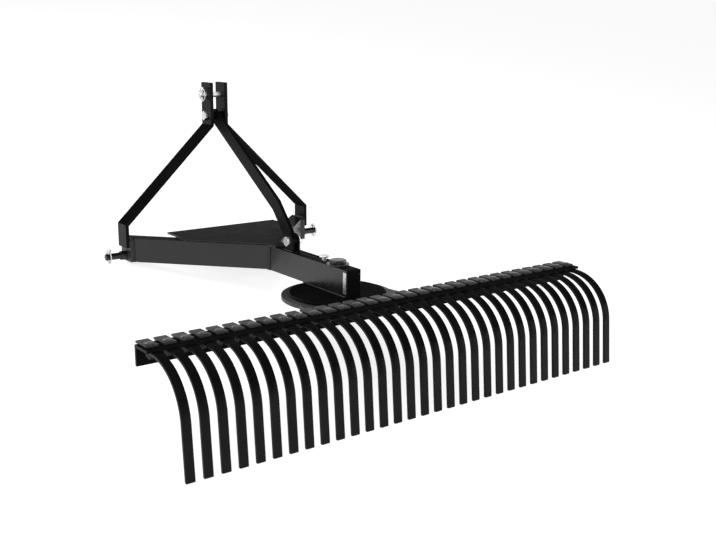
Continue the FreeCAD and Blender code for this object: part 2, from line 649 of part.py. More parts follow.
def mast_leg(word, side):
    """A flat bar bent twice: an ear at the top, a sloping leg and an upright foot."""
    ear, foot = "%d * %s" % (side, EAR_CENTRE), "%d * %s" % (side, MAST_FOOT_CENTRE)
    points = [(ear, "<ear_top>"), (ear, EAR_BOTTOM), (foot, "<knee>"), (foot, "<mast_foot>")]
    half, depth = "<mast_thickness> / 2", "<mast_width> / 2"
    section = [("%s - %s" % (ear, half), "-" + depth), ("%s + %s" % (ear, half), "-" + depth),
               ("%s + %s" % (ear, half), depth), ("%s - %s" % (ear, half), depth)]
    node = "mast_leg_" + word
    bar = swept_bar(node + "_bar", "XZ_Plane", lambda sketch: outline(sketch, points, False),
                    "XY_Plane", section, "Right corner", "<ear_top>")
    holes = [across_rod(node + "_hole", "<top_pin> + <top_pin_fit>", side, "0",
                        "2 * %s" % EAR_OUTSIDE, "0", height)
             for height in (UPPER_HOLE, LOWER_HOLE)]
    keep_sloped(node, cut(node, bar, *holes), upright)


def top_link_pin():
    """The loose pin through the upper ear holes, its head on the right."""
    head_end = "%s + <top_pin_head_length>" % EAR_OUTSIDE
    tip = "(%s + <top_pin_free>)" % EAR_OUTSIDE
    shank = rod("top_pin_shank", "<top_pin>", "%s + %s" % (tip, EAR_OUTSIDE),
                "-%s" % tip, "0", UPPER_HOLE, ACROSS)
    head = across_rod("top_pin_head", "<top_pin_head>", 1, EAR_OUTSIDE, head_end,
                      "0", UPPER_HOLE)
    hole = rod("top_pin_hole", "<cotter_diameter> + <cotter_clearance>", "2 * <top_pin>",
               "<cotter_from_end> - %s" % tip, "0", "%s - <top_pin>" % UPPER_HOLE)
    keep_sloped("top_link_pin", cut("top_link_pin", fuse("top_pin_bar", shank, head), hole), upright)
    linchpin("top_linchpin", "<cotter_from_end> - %s" % tip, "0", UPPER_HOLE, upright)


def ear_bolt_and_spacers():
    """The bolt through the lower ear holes and the brace, with a tube on each side of it."""
    foot = "(%s + <ear_bolt_head>)" % EAR_OUTSIDE
    keep_sloped("ear_bolt", fuse(
        "ear_bolt",
        rod("ear_bolt_shank", "<top_pin>", "2 * %s" % EAR_OUTSIDE, "-%s" % EAR_OUTSIDE,
            "0", LOWER_HOLE, ACROSS),
        hexagon("ear_bolt_hex", "<ear_bolt_flats>", "<ear_bolt_head>", "-%s" % foot,
                "0", LOWER_HOLE, ACROSS),
        hexagon("ear_bolt_nut", "<ear_bolt_flats>", "<ear_bolt_head>", EAR_OUTSIDE,
                "0", LOWER_HOLE, ACROSS)), upright)
    near = "(%s + <spacer_end_gap> / 2)" % BRACE_HALF
    far = "(<ear_gap> / 2 - <spacer_end_gap> / 2)"
    tubes = [across_rod("spacer_outer_" + word, "<spacer_outer>", side, near, far,
                        "0", LOWER_HOLE) for word, side in SIDES]
    bore = rod("spacer_bore", "<top_pin> + <spacer_clearance>", "<ear_gap>", "-<ear_gap> / 2",
               "0", LOWER_HOLE, ACROSS)
    keep_sloped("ear_spacers", cut("ear_spacers", fuse("spacer_tubes", *tubes), bore), upright)


# ------------------------------------------------------------------- the mast's brace

def brace_strip(name, start, end):
    """A flat bar on edge in the middle plane between two places ahead and up."""
    (y, z), (far_y, far_z) = start, end
    rise, run = "(%s - %s)" % (far_z, z), "(%s - %s)" % (far_y, y)
    reach = "sqrt(%s ^ 2 + %s ^ 2)" % (rise, run)
    item = doc.addObject("Part::Box", name)
    item.Placement.Rotation = FreeCAD.Rotation(
        FreeCAD.Vector(1, 0, 0), math.degrees(math.atan2(number(rise), number(run))))
    return bind(item, Length="<brace_thickness>", Width=reach, Height="<brace_width>",
                Placement__Base__x="-%s" % BRACE_HALF,
                Placement__Base__y="%s + <brace_width> / 2 * %s / %s" % (y, rise, reach),
                Placement__Base__z="%s - <brace_width> / 2 * %s / %s" % (z, run, reach))


def mast_brace():
    """The bent flat bar from the ear bolt down to its lugs on the tongue."""
    foot = (BRACE_FOOT, "(%s + <brace_foot_rise>)" % TONGUE_TOP)
    bend = ("(%s + <brace_bend_ahead>)" % BRACE_FOOT,
            "(%s + <brace_bend_rise>)" % TONGUE_TOP)
    head = (BRACKET_MIDDLE, "(%s + %s)" % (PIN_UP, LOWER_HOLE))
    rounds = [rod("brace_round_%d" % index, "<brace_width>", "<brace_thickness>",
                  "-%s" % BRACE_HALF, y, z, ACROSS)
              for index, (y, z) in enumerate((foot, bend, head))]
    bar = fuse("brace_bar", brace_strip("brace_low", foot, bend),
               brace_strip("brace_high", bend, head), *rounds)
    holes = [rod("brace_hole_%d" % index, diameter, "4 * <brace_thickness>",
                 "-2 * <brace_thickness>", y, z, ACROSS)
             for index, (diameter, (y, z)) in enumerate((
                 ("<brace_bolt> + <bolt_clearance>", foot),
                 ("<top_pin> + <spacer_clearance>", head)))]
    keep_sloped("mast_brace", cut("mast_brace", bar, *holes))
    brace_foot(*foot)


def brace_foot(y, z):
    """The two lugs on the tongue and the bolt through them and the brace."""
    lugs = []
    for word, side in SIDES:
        inner = "(%s + <lug_gap>)" % BRACE_HALF
        lugs.append(across_rod("lug_round_" + word, "<lug_width>", side, inner, LUG_OUTSIDE,
                               y, z))
        lugs.append(block("lug_base_" + word, "<lug_thickness>", "<lug_width>",
                          "<brace_foot_rise>", inner if side > 0 else "-%s" % LUG_OUTSIDE,
                          "%s - <lug_width> / 2" % y, TONGUE_TOP))
    hole = rod("lug_hole", "<brace_bolt> + <bolt_clearance>", "4 * %s" % LUG_OUTSIDE,
               "-2 * %s" % LUG_OUTSIDE, y, z, ACROSS)
    keep_sloped("brace_lugs", cut("brace_lugs", fuse("lug_pair", *lugs), hole))
    keep_sloped("brace_bolt", fuse(
        "brace_bolt",
        rod("brace_bolt_shank", "<brace_bolt>", "2 * %s" % LUG_OUTSIDE, "-%s" % LUG_OUTSIDE,
            y, z, ACROSS),
        hexagon("brace_bolt_hex", "<brace_bolt_flats>", "<brace_bolt_head>",
                "-(%s + <brace_bolt_head>)" % LUG_OUTSIDE, y, z, ACROSS),
        hexagon("brace_bolt_nut", "<brace_bolt_flats>", "<brace_bolt_head>", LUG_OUTSIDE,
                y, z, ACROSS)))


upright = FreeCAD.Placement(
    FreeCAD.Vector(0, number(BRACKET_MIDDLE), number(PIN_UP)), FreeCAD.Rotation())

tongue_and_arms()
gusset_plate()
for hand, sign in SIDES:
    hitch_bracket(hand, sign)
    lower_pin(hand, sign)
    linchpin("linchpin_" + hand, "%d * (%s - <cotter_from_end>)" % (sign, PIN_TIP),
             BRACKET_MIDDLE, PIN_UP)
    mast_leg(hand, sign)
top_link_pin()
ear_bolt_and_spacers()
mast_brace()


# -------------------------------------------------------------- checks and files

doc.recompute()
failed = [item.Name for item in doc.Objects
          if any(word in item.State for word in ("Invalid", "Error"))]
failed += [piece.Label for piece in kept if piece.Shape.isNull() or not piece.Shape.isValid()]
if failed:
    raise RuntimeError("not built: " + ", ".join(failed))

middle = (min(piece.Shape.BoundBox.YMin for piece in kept)
          + max(piece.Shape.BoundBox.YMax for piece in kept)) / 2
for piece in kept:
    piece.Placement.Base = piece.Placement.Base - FreeCAD.Vector(0, middle, 0)

os.makedirs("parts", exist_ok=True)
for piece in kept:
    piece.Shape.exportStep("parts/%s.step" % piece.Label)
    box = piece.Shape.BoundBox
    print("%-22s %3d solid(s) %10.0f mm3  x %6.0f..%-6.0f y %6.0f..%-6.0f z %6.1f..%-6.1f" % (
        piece.Label, len(piece.Shape.Solids), piece.Shape.Volume,
        box.XMin, box.XMax, box.YMin, box.YMax, box.ZMin, box.ZMax))
print("leans forward by %.4f degrees, then moved %.4f mm back and %.4f mm up"
      % (park_angle, middle, parked.Base.z))
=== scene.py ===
import json
import math

import bpy
import bmesh
from mathutils import Matrix, Vector


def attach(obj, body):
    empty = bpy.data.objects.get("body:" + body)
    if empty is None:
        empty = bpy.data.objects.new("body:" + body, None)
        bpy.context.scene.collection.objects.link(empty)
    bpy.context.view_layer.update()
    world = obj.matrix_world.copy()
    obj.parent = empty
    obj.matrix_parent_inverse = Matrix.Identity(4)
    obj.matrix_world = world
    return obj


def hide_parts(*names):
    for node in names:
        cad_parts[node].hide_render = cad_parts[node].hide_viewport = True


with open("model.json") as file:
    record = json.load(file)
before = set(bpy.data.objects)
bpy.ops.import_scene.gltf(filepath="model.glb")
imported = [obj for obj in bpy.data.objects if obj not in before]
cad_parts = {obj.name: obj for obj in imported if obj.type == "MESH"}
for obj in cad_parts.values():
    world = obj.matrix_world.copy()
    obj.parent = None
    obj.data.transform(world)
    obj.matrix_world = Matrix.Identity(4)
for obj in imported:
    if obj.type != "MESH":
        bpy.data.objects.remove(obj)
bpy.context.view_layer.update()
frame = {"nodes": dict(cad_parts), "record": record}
scene = bpy.context.scene

# Where things are in the rake's own axes, in metres: X to the right along the tine row,
# Y forward and Z up, from the middle of the tine tips.
TINES, PITCH, BOLT_LINE = 32, 0.047625, 0.176
CLAMP_TOP, ROOT_UNDERSIDE = 0.290, 0.268
BAR_FRONT, PLATE_TOP, PLATE_THICK, PLATE_HALF = 0.210, 0.2457, 0.012, 0.200
TONGUE_REAR, FORK, TONGUE_HALF = 0.352, 0.790, 0.025
TUBE_FOOT, TUBE_TOP = 0.254, 0.336
KING, LOCK, DISC_RADIUS = 0.430, 0.502, 0.148
KING_NUT_FOOT, KING_NUT_TOP = 0.2047, 0.2287
ARM_TURN, APEX = math.radians(42.5), 0.7627173
GUSSET_HALF, GUSSET_LAP = 0.215, 0.050
BRACKET_INSIDE, BRACKET_OUTSIDE = 0.340, 0.354
BRACKET_REAR, BRACKET_MIDDLE, BRACKET_FRONT = 1.1337623, 1.1717623, 1.2097623
LEG_HALF, LEG_END = 0.0325, 0.305
LUG_REAR, BRACE_FOOT, LUG_FRONT, LUG_SIDE = 0.656, 0.681, 0.706, 0.0142
PIN_UP, LOWER_HOLE, UPPER_HOLE = 0.274, 0.732, 0.804
LOWER_COTTER, TOP_COTTER = 0.417, 0.048

# The rake stands tipped forward, so its own axes are turned back by this tilt.
TILT = math.radians(12.5949)
BACK, RAISE = 0.6700134, -0.0011835
STAND = Matrix.Translation((0, -BACK, RAISE)) @ Matrix.Rotation(-TILT, 4, "X")

# The frame slopes up a little from the top front corner of the rake bar.
RISE = math.radians(1.0)
CORNER = Vector((0, BAR_FRONT, PLATE_TOP))
SLOPE = (STAND @ Matrix.Translation(CORNER) @ Matrix.Rotation(RISE, 4, "X")
         @ Matrix.Translation(-CORNER))


# ------------------------------------------------------------------------- camera

CAMERA_PLACE = (-1.6893, -1.9154, 0.9789)
CAMERA_YAW, CAMERA_PITCH = math.radians(36.99), math.radians(12.78)
SENSOR, LENS = 36.0, 49.2


def aim_camera():
    """The camera stands behind the left end of the tine row and looks to the hitch."""
    data = bpy.data.cameras.new("camera")
    data.sensor_width = SENSOR
    data.lens = LENS
    data.clip_start, data.clip_end = 0.05, 200
    camera = bpy.data.objects.new("camera", data)
    scene.collection.objects.link(camera)
    down = math.pi / 2 - CAMERA_PITCH
    turn = Matrix.Rotation(-CAMERA_YAW, 4, "Z") @ Matrix.Rotation(down, 4, "X")
    camera.matrix_world = STAND @ Matrix.Translation(CAMERA_PLACE) @ turn
    scene.camera = camera


# ---------------------------------------------------------------------- materials

class Nodes:
    """Short calls to lay out the nodes of a material or a world."""

    def __init__(self, owner, output):
        owner.use_nodes = True
        self.owner = owner
        self.tree = owner.node_tree
        self.tree.nodes.clear()
        self.out = self.tree.nodes.new("ShaderNode" + output)

    def feed(self, socket, value):
        """Links another node's output to a socket, or sets the socket's own value."""
        if isinstance(value, bpy.types.NodeSocket):
            self.tree.links.new(value, socket)
        else:
            socket.default_value = value

    def add(self, kind, **inputs):
        """A node; two underscores stand for a space in an input's name."""
        node = self.tree.nodes.new("ShaderNode" + kind)
        for key, value in inputs.items():
            self.feed(node.inputs[key.replace("__", " ")], value)
        return node

    def ramp(self, factor, low, high, first, last):
        """A value ramp: `first` at the low position, `last` at the high one."""
        node = self.add("MapRange", **{"Value": factor, "From__Min": low, "From__Max": high,
                                       "To__Min": first, "To__Max": last})
        return node.outputs["Result"]

    def mix(self, factor, first, second):
        """Two colours mixed by a factor."""
        node = self.tree.nodes.new("ShaderNodeMix")
        node.data_type = "RGBA"
        self.feed(node.inputs["Factor"], factor)
        self.feed(node.inputs[6], first)
        self.feed(node.inputs[7], second)
        return node.outputs[2]

    def noise(self, scale, detail, roughness=0.55):
        where = self.add("TexCoord").outputs["Object"]
        return self.add("TexNoise", Vector=where, Scale=scale, Detail=detail,
                        Roughness=roughness).outputs["Fac"]

    def math(self, operation, *values):
        node = self.tree.nodes.new("ShaderNodeMath")
        node.operation = operation
        for socket, value in zip(node.inputs, values):
            self.feed(socket, value)
        return node.outputs[0]

    def join(self, kind, first, second, factor=None):
        """Two shaders added, or mixed by a factor."""
        node = self.tree.nodes.new("ShaderNode" + kind)
        shaders = [socket for socket in node.inputs if socket.type == "SHADER"]
        self.tree.links.new(first, shaders[0])
        self.tree.links.new(second, shaders[1])
        if factor is not None:
            self.tree.links.new(factor, node.inputs["Fac"])
        return node.outputs[0]

    def seen(self):
        """1 for what the camera sees, also by a mirror or through glass, and 0 for light."""
        rays = self.add("LightPath").outputs
        shown = self.math("MAXIMUM", rays["Is Camera Ray"], rays["Is Glossy Ray"])
        return self.math("MAXIMUM", shown, rays["Is Transmission Ray"])

    def level(self):
        """0 on upright faces, 1 on level ones."""
        normal = self.add("NewGeometry").outputs["Normal"]
        return self.math("ABSOLUTE", self.add("SeparateXYZ", Vector=normal).outputs["Z"])

    def edges(self, radius):
        """1 along the outer edges, 0 on flat faces."""
        bevel = self.add("Bevel", Radius=radius)
        flat = self.add("NewGeometry").outputs["Normal"]
        dot = self.tree.nodes.new("ShaderNodeVectorMath")
        dot.operation = "DOT_PRODUCT"
        self.tree.links.new(bevel.outputs["Normal"], dot.inputs[0])
        self.tree.links.new(flat, dot.inputs[1])
        return self.ramp(dot.outputs["Value"], 0.98, 0.80, 0.0, 1.0)

    def surface(self, bump, strength, distance, radius, **inputs):
        """A principled surface with softened edges and a fine relief."""
        rounded = self.add("Bevel", Radius=radius).outputs["Normal"]
        relief = self.add("Bump", Height=bump, Strength=strength, Distance=distance,
                          Normal=rounded).outputs["Normal"]
        shader = self.add("BsdfPrincipled", Normal=relief, **inputs)
        self.finish(shader.outputs["BSDF"])
        return self.owner

    def finish(self, shader):
        self.tree.links.new(shader, self.out.inputs["Surface"])


def material_nodes(name):
    return Nodes(bpy.data.materials.new(name), "OutputMaterial")


def gray(value):
    """A gray with a trace of blue."""
    return (value, value, value * 1.03, 1.0)


RUBBED = gray(0.10)


def black_paint(name, dark, pale, rough, gloss, dull, edge, wear):
    """Black powder coat: orange-peel relief, rubbed edges, and painted shade on what faces up.

    The paint runs from the gray `dark` to `pale`, and its roughness over the pair `rough`.
    Upright faces mirror by `gloss` and level ones by `dull`. The rubbed edges are `edge`
    wide, and `wear` is how much of the paint is off them.
    """
    n = material_nodes(name)
    dust = n.noise(9, 5, 0.6)
    base = n.mix(n.ramp(dust, 0.42, 0.75, 0, 1), gray(dark), gray(pale))
    worn = n.math("MULTIPLY", n.edges(edge), n.ramp(n.noise(140, 4), 0.45, 0.70, 0, wear))
    color = n.mix(worn, base, RUBBED)
    roughness = n.ramp(n.noise(30, 4, 0.6), 0.3, 0.75, *rough)
    # Painted shade: level faces mirror far less than upright ones, so that the tops stay dark.
    mirror = n.ramp(n.level(), 0.30, 0.62, gloss, dull)
    orange_peel = n.noise(620, 2, 0.5)
    return n.surface(orange_peel, 0.10, 0.0004, 0.0014,
                     **{"Base__Color": color, "Roughness": roughness,
                        "Specular__IOR__Level": mirror})


def zinc_plate(name):
    """Bright zinc: metallic, with faint spangles and finger marks."""
    n = material_nodes(name)
    spangles = n.ramp(n.noise(60, 5, 0.6), 0.35, 0.7, 0, 1)
    color = n.mix(spangles, (0.66, 0.66, 0.64, 1), (0.50, 0.50, 0.50, 1))
    roughness = n.ramp(n.noise(180, 4, 0.6), 0.3, 0.7, 0.24, 0.42)
    return n.surface(n.noise(900, 2, 0.5), 0.12, 0.0003, 0.0006,
                     **{"Base__Color": color, "Roughness": roughness, "Metallic": 1.0})


MATERIALS = {
    "black_paint": black_paint("frame_black", dark=0.007, pale=0.012, rough=(0.20, 0.34),
                               gloss=0.44, dull=0.001, edge=0.0022, wear=0.5),
    "tine_paint": black_paint("tine_black", dark=0.005, pale=0.009, rough=(0.22, 0.36),
                              gloss=0.10, dull=0.002, edge=0.0016, wear=0.6),
    "bolt_black": black_paint("bolt_black", dark=0.010, pale=0.018, rough=(0.24, 0.40),
                              gloss=0.40, dull=0.40, edge=0.0012, wear=0.8),
    "zinc_plate": zinc_plate("zinc"),
}

# Two more copies of the black paint, a darker and a paler one, as painted shade and painted
# light.
# The mast with its brace, the tongue's end plate, the bar and the disc take the darker copy,
# which mirrors little, as painted shade. The swivel plate, clamps and brackets take the paler
# copy, partly real scuffing and partly painted light.
PAINTED_SHADE_BLACK = black_paint("painted_shade_black", dark=0.004, pale=0.007, rough=(0.26, 0.42),
                   gloss=0.06, dull=0.0005, edge=0.0018, wear=0.4)
SCUFFED_AND_LIT_BLACK = black_paint("scuffed_and_lit_black", dark=0.018, pale=0.040, rough=(0.34, 0.55),
                      gloss=0.40, dull=0.10, edge=0.0018, wear=0.9)
SHADE_AND_LIGHT_COPIES = {"mast_leg_left": PAINTED_SHADE_BLACK, "mast_leg_right": PAINTED_SHADE_BLACK, "mast_brace": PAINTED_SHADE_BLACK, "brace_lugs": PAINTED_SHADE_BLACK,
          "tongue_end_plate": PAINTED_SHADE_BLACK, "pivot_disc": PAINTED_SHADE_BLACK, "rake_bar": PAINTED_SHADE_BLACK,
          "swivel_plate": SCUFFED_AND_LIT_BLACK, "tine_clamp_plates": SCUFFED_AND_LIT_BLACK,
          "hitch_bracket_left": SCUFFED_AND_LIT_BLACK, "hitch_bracket_right": SCUFFED_AND_LIT_BLACK}


def paint_nodes():
    slots = {entry["node"]: entry["material_slot"] for entry in frame["record"]["subparts"]}
    for node, item in frame["nodes"].items():
        for place in item.material_slots:
            # Some parts take the darker or the paler copy of the paint, as painted shade or
            # painted light.
            place.material = SHADE_AND_LIGHT_COPIES.get(node, MATERIALS[slots[node]])


# ------------------------------------------------------------------- mesh workshop

ACROSS = Matrix.Rotation(math.pi / 2, 4, "Y")
UPSIDE_DOWN = Matrix.Rotation(math.pi, 4, "X")


def here(x, y, z):
    """A place in the rake's own axes."""
    return Matrix.Translation((x, y, z))


def turned_by(angle):
    """A turn about a piece's own axis."""
    return Matrix.Rotation(angle, 4, "Z")


def round_angles(steps):
    return [2 * math.pi * i / steps for i in range(steps)]


def skin(form, rings, place):
    """Quads between rings of equal length, and a face over each end."""
    rows = [[form.verts.new(place @ Vector(point)) for point in ring] for ring in rings]
    count = len(rows[0])
    for low, high in zip(rows, rows[1:]):
        for i in range(count):
            j = (i + 1) % count
            form.faces.new((low[i], low[j], high[j], high[i])).smooth = True
    form.faces.new(rows[0][::-1])
    form.faces.new(rows[-1])


def turned(form, profile, place, steps):
    """A turned piece: profile is pairs of radius and height along its own axis."""
    angles = round_angles(steps)
    skin(form, [[(radius * math.cos(a), radius * math.sin(a), height) for a in angles]
                for radius, height in profile], place)


def hexagon(form, flats, foot, top, place):
    """A hexagon whose corners are turned off towards both ends."""
    half, tall = flats / 2, top - foot
    end_radius, flare = 0.96 * half, 2.2
    rings = []
    for share in (0.0, 0.04, 0.09, 0.14, 0.5, 0.86, 0.91, 0.96, 1.0):
        turned_off = end_radius + flare * min(share, 1 - share) * tall
        ring = []
        for angle in round_angles(48):
            from_flat = (angle + math.pi / 6) % (math.pi / 3) - math.pi / 6
            radius = min(half / math.cos(from_flat), turned_off)
            ring.append((radius * math.cos(angle), radius * math.sin(angle),
                         foot + share * tall))
        rings.append(ring)
    skin(form, rings, place)


def thread(form, radius, foot, top, place, pitch=0.00175):
    """A threaded end: shallow turns, and a point turned off at the top."""
    root = radius * 0.93
    profile, height = [(radius, foot)], foot
    while height + pitch < top - 0.4 * pitch:
        profile += [(radius, height + 0.15 * pitch), (root, height + 0.55 * pitch),
                    (radius, height + 0.95 * pitch)]
        height += pitch
    profile += [(root, height + 0.5 * pitch), (radius * 0.86, top)]
    turned(form, profile, place, 24)


def loop(form, radius, wire, place):
    """A ring of round wire."""
    rows = []
    for around in round_angles(64):
        row = []
        for section in round_angles(12):
            reach = radius + wire * math.cos(section)
            row.append(form.verts.new(place @ Vector((
                reach * math.cos(around), reach * math.sin(around),
                wire * math.sin(section)))))
        rows.append(row)
    for row, after in zip(rows, rows[1:] + rows[:1]):
        for k in range(len(row)):
            m = (k + 1) % len(row)
            form.faces.new((row[k], after[k], after[m], row[m])).smooth = True


def bead(form, points, radius, place, closed=False):
    """A weld bead along a line: a low tube whose ripples lie one on the other."""
    stride, ripple_length = 0.0011, 0.0042
    points = [Vector(point) for point in points]
    if closed:
        points.append(points[0])
    rings, travelled = [], 0.0
    for index, (start, end) in enumerate(zip(points, points[1:])):
        run = end - start
        ahead = run.normalized()
        side = ahead.orthogonal().normalized()
        up = ahead.cross(side)
        count = max(2, round(run.length / stride))
        is_last = index == len(points) - 2
        for i in range(count + is_last):
            along = travelled + run.length * i / count
            ripple = abs(math.sin(math.pi * along / ripple_length))
            wobble = 0.06 * math.sin(37 * along) + 0.04 * math.sin(91 * along + 1.3)
            reach = radius * (0.86 + 0.16 * ripple + wobble)
            middle = start + ahead * (run.length * i / count)
            rings.append([middle + reach * (side * math.cos(t) + up * math.sin(t))
                          for t in round_angles(8)])
        travelled += run.length
    skin(form, rings, place)


def piece(name, form, body, slot, *nodes):
    """Finish one object: material, body and the nodes it stands for."""
    bmesh.ops.recalc_face_normals(form, faces=form.faces)
    mesh = bpy.data.meshes.new(name)
    form.to_mesh(mesh)
    form.free()
    mesh.materials.append(MATERIALS[slot])
    item = bpy.data.objects.new(name, mesh)
    scene.collection.objects.link(item)
    sharp = item.modifiers.new("edges", "EDGE_SPLIT")
    sharp.split_angle = math.radians(38)
    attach(item, body)
    if nodes:
        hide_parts(*nodes)


# ------------------------------------------------------------- bolts, pins and welds

def tine_bolt_set():
    """Low round heads over the clamps, nuts and thread ends under the roots."""
    form = bmesh.new()
    head = [(0.0130, 0.0), (0.0130, 0.0008), (0.0122, 0.0018), (0.0100, 0.0030),
            (0.0066, 0.0038), (0.0030, 0.0040)]
    shank, flats, stub = 0.006, 0.019, 0.006
    nut_foot = ROOT_UNDERSIDE - 0.010
    for index in range(TINES):
        place = STAND @ here((index + 0.5 - TINES / 2) * PITCH, BOLT_LINE, 0)
        turned(form, [(radius, CLAMP_TOP + rise) for radius, rise in head], place, 32)
        turned(form, [(shank, CLAMP_TOP), (shank, nut_foot)], place, 20)
        as_tightened = turned_by(0.7 * math.sin(5.1 * index))
        hexagon(form, flats, nut_foot, ROOT_UNDERSIDE, place @ as_tightened)
        thread(form, shank, -nut_foot, stub - nut_foot, place @ UPSIDE_DOWN)
    piece("tine_bolt_set", form, "rake_head", "bolt_black", "tine_bolts")


def king_bolt_set():
    """The big bolt of the turntable with its washers, nut and thread."""
    form = bmesh.new()
    place = SLOPE @ here(0, KING, 0)
    washer = [(0.0165, 0.0), (0.0345, 0.0), (0.0350, 0.0005), (0.0350, 0.0042),
              (0.0342, 0.0050), (0.0165, 0.0050)]
    shank, flats, stub = 0.015, 0.046, 0.008
    squeezed = 0.94  # keeps the lower washer just clear of the swivel plate
    turned(form, [(radius, TUBE_TOP + rise) for radius, rise in washer], place, 48)
    turned(form, [(radius, KING_NUT_TOP + rise * squeezed) for radius, rise in washer],
           place, 48)
    turned(form, [(shank, KING_NUT_FOOT + 0.0003), (shank, TUBE_TOP + 0.006)], place, 32)
    hexagon(form, flats, TUBE_TOP + 0.005, TUBE_TOP + 0.017, place)
    hexagon(form, flats, KING_NUT_FOOT, KING_NUT_TOP, place @ turned_by(0.3))
    thread(form, shank, -KING_NUT_FOOT, stub - KING_NUT_FOOT, place @ UPSIDE_DOWN, 0.003)
    piece("king_bolt_set", form, "hitch_frame", "bolt_black", "king_bolt")


def cross_bolt(name, node, y, z, shank, flats, head, half_grip, stub):
    """A bolt across the middle plane, its head on the left and its nut on the right."""
    form = bmesh.new()
    place = SLOPE @ here(0, y, z) @ ACROSS
    hexagon(form, flats, -half_grip - head, -half_grip, place @ turned_by(0.4))
    turned(form, [(shank, -half_grip - 0.001), (shank, half_grip + 0.001)], place, 28)
    hexagon(form, flats, half_grip, half_grip + head, place @ turned_by(0.1))
    thread(form, shank, half_grip + head, half_grip + head + stub, place)
    piece(name, form, "hitch_frame", "zinc_plate", node)


def linchpin(name, node, x, z):
    """A tapered pin with a round head and a spring ring through it."""
    form = bmesh.new()
    place = SLOPE @ here(x, BRACKET_MIDDLE, z)
    turned(form, [(0.0018, -0.0230), (0.0030, -0.0225), (0.0042, -0.0185), (0.0045, -0.0150),
                  (0.0045, 0.0158)], place, 28)
    turned(form, [(0.0052, 0.0156), (0.0071, 0.0162), (0.0075, 0.0175), (0.0075, 0.0238),
                  (0.0068, 0.0254), (0.0048, 0.0260)], place, 32)
    loop(form, 0.021, 0.002, place @ ACROSS)
    piece(name, form, "hitch_frame", "zinc_plate", node)


def top_pin():
    """The loose pin of the top link, with a round end and a turned head."""
    form = bmesh.new()
    place = SLOPE @ here(0, BRACKET_MIDDLE, UPPER_HOLE) @ ACROSS
    turned(form, [(0.0070, -0.0600), (0.0088, -0.0585), (0.0095, -0.0560), (0.0095, 0.0335),
                  (0.0150, 0.0340), (0.0160, 0.0350), (0.0160, 0.0408), (0.0148, 0.0420),
                  (0.0060, 0.0420)], place, 40)
    piece("top_pin", form, "hitch_frame", "zinc_plate", "top_link_pin")


def lock_knob():
    """The lock pin with its round knob and a point that finds the hole."""
    form = bmesh.new()
    place = SLOPE @ here(0, LOCK, 0)
    turned(form, [(0.0045, 0.2460), (0.0074, 0.2485), (0.0080, 0.2520), (0.0080, 0.3470),
                  (0.0150, 0.3471), (0.0160, 0.3480), (0.0160, 0.3508), (0.0146, 0.3520),
                  (0.0050, 0.3520)], place, 36)
    piece("lock_knob", form, "hitch_frame", "zinc_plate", "lock_pin")


def lower_pin(name, node, side):
    """A hitch pin with chamfered ends and collar."""
    form = bmesh.new()
    place = SLOPE @ here(0, BRACKET_MIDDLE, PIN_UP) @ ACROSS
    profile = [(0.0095, 0.3320), (0.0110, 0.3335), (0.0110, 0.3545), (0.0142, 0.3545),
               (0.0150, 0.3555), (0.0150, 0.3755), (0.0140, 0.3770), (0.0110, 0.3772),
               (0.0110, 0.4268), (0.0090, 0.4290)]
    if side < 0:
        profile = [(radius, -x) for radius, x in reversed(profile)]
    turned(form, profile, place, 40)
    piece(name, form, "hitch_frame", "black_paint", node)


def arm_edge(out, lap=0.0):
    """How far forward an arm's rear edge is, that far out from the middle.

    With a lap, it is the line that lies that far in across the arm.
    """
    return APEX + out / math.tan(ARM_TURN) + lap / math.sin(ARM_TURN)


def frame_welds():
    """The weld beads of the frame, on both sides and round the tongue's end plate."""
    form = bmesh.new()

    def weld(size, *points, closed=False):
        bead(form, points, size, SLOPE, closed)

    for side in (-1, 1):
        edge = side * TONGUE_HALF
        weld(0.003, (edge, TONGUE_REAR + 0.004, TUBE_FOOT), (edge, KING + DISC_RADIUS, TUBE_FOOT))
        for along, size in ((0.004, 0.0050), (0.012, 0.0044)):
            weld(size, (edge, FORK - along, TUBE_FOOT), (edge, FORK - along, TUBE_TOP))
        gusset = side * GUSSET_HALF
        gusset_corner = (gusset, arm_edge(GUSSET_HALF), TUBE_TOP)
        weld(0.0026, (edge, FORK - GUSSET_LAP, TUBE_TOP), (edge, FORK, TUBE_TOP), gusset_corner)
        weld(0.0026, gusset_corner, (gusset, arm_edge(GUSSET_HALF, GUSSET_LAP), TUBE_TOP))
        inner, outer = side * BRACKET_INSIDE, side * BRACKET_OUTSIDE
        weld(0.0028, (inner, BRACKET_REAR, TUBE_FOOT), (inner, BRACKET_REAR, TUBE_TOP - 0.010))
        weld(0.0026, (inner, BRACKET_REAR + 0.010, TUBE_TOP),
             (inner, BRACKET_FRONT - 0.010, TUBE_TOP))
        collar = Vector((outer, BRACKET_MIDDLE, PIN_UP))
        around = [Vector((0.0158 * math.cos(a), 0.0158 * math.sin(a), 0))
                  for a in round_angles(40)]
        weld(0.0022, *[collar + ACROSS @ point for point in around], closed=True)
        rear, front = BRACKET_MIDDLE - LEG_HALF, BRACKET_MIDDLE + LEG_HALF
        weld(0.0030, (outer, rear + 0.003, TUBE_TOP), (outer, front - 0.003, TUBE_TOP))
        for y in (rear, front):
            weld(0.0028, (outer, y, TUBE_TOP - 0.010), (outer, y, LEG_END))
        lug = side * LUG_SIDE
        weld(0.0028, (lug, LUG_REAR, TUBE_TOP), (lug, LUG_FRONT, TUBE_TOP))
    half, low, high = TONGUE_HALF - 0.0025, TUBE_FOOT + 0.003, TUBE_TOP - 0.003
    weld(0.0038, (-half, TONGUE_REAR, low), (half, TONGUE_REAR, low),
         (half, TONGUE_REAR, high), (-half, TONGUE_REAR, high), closed=True)
    piece("frame_welds", form, "hitch_frame", "black_paint")


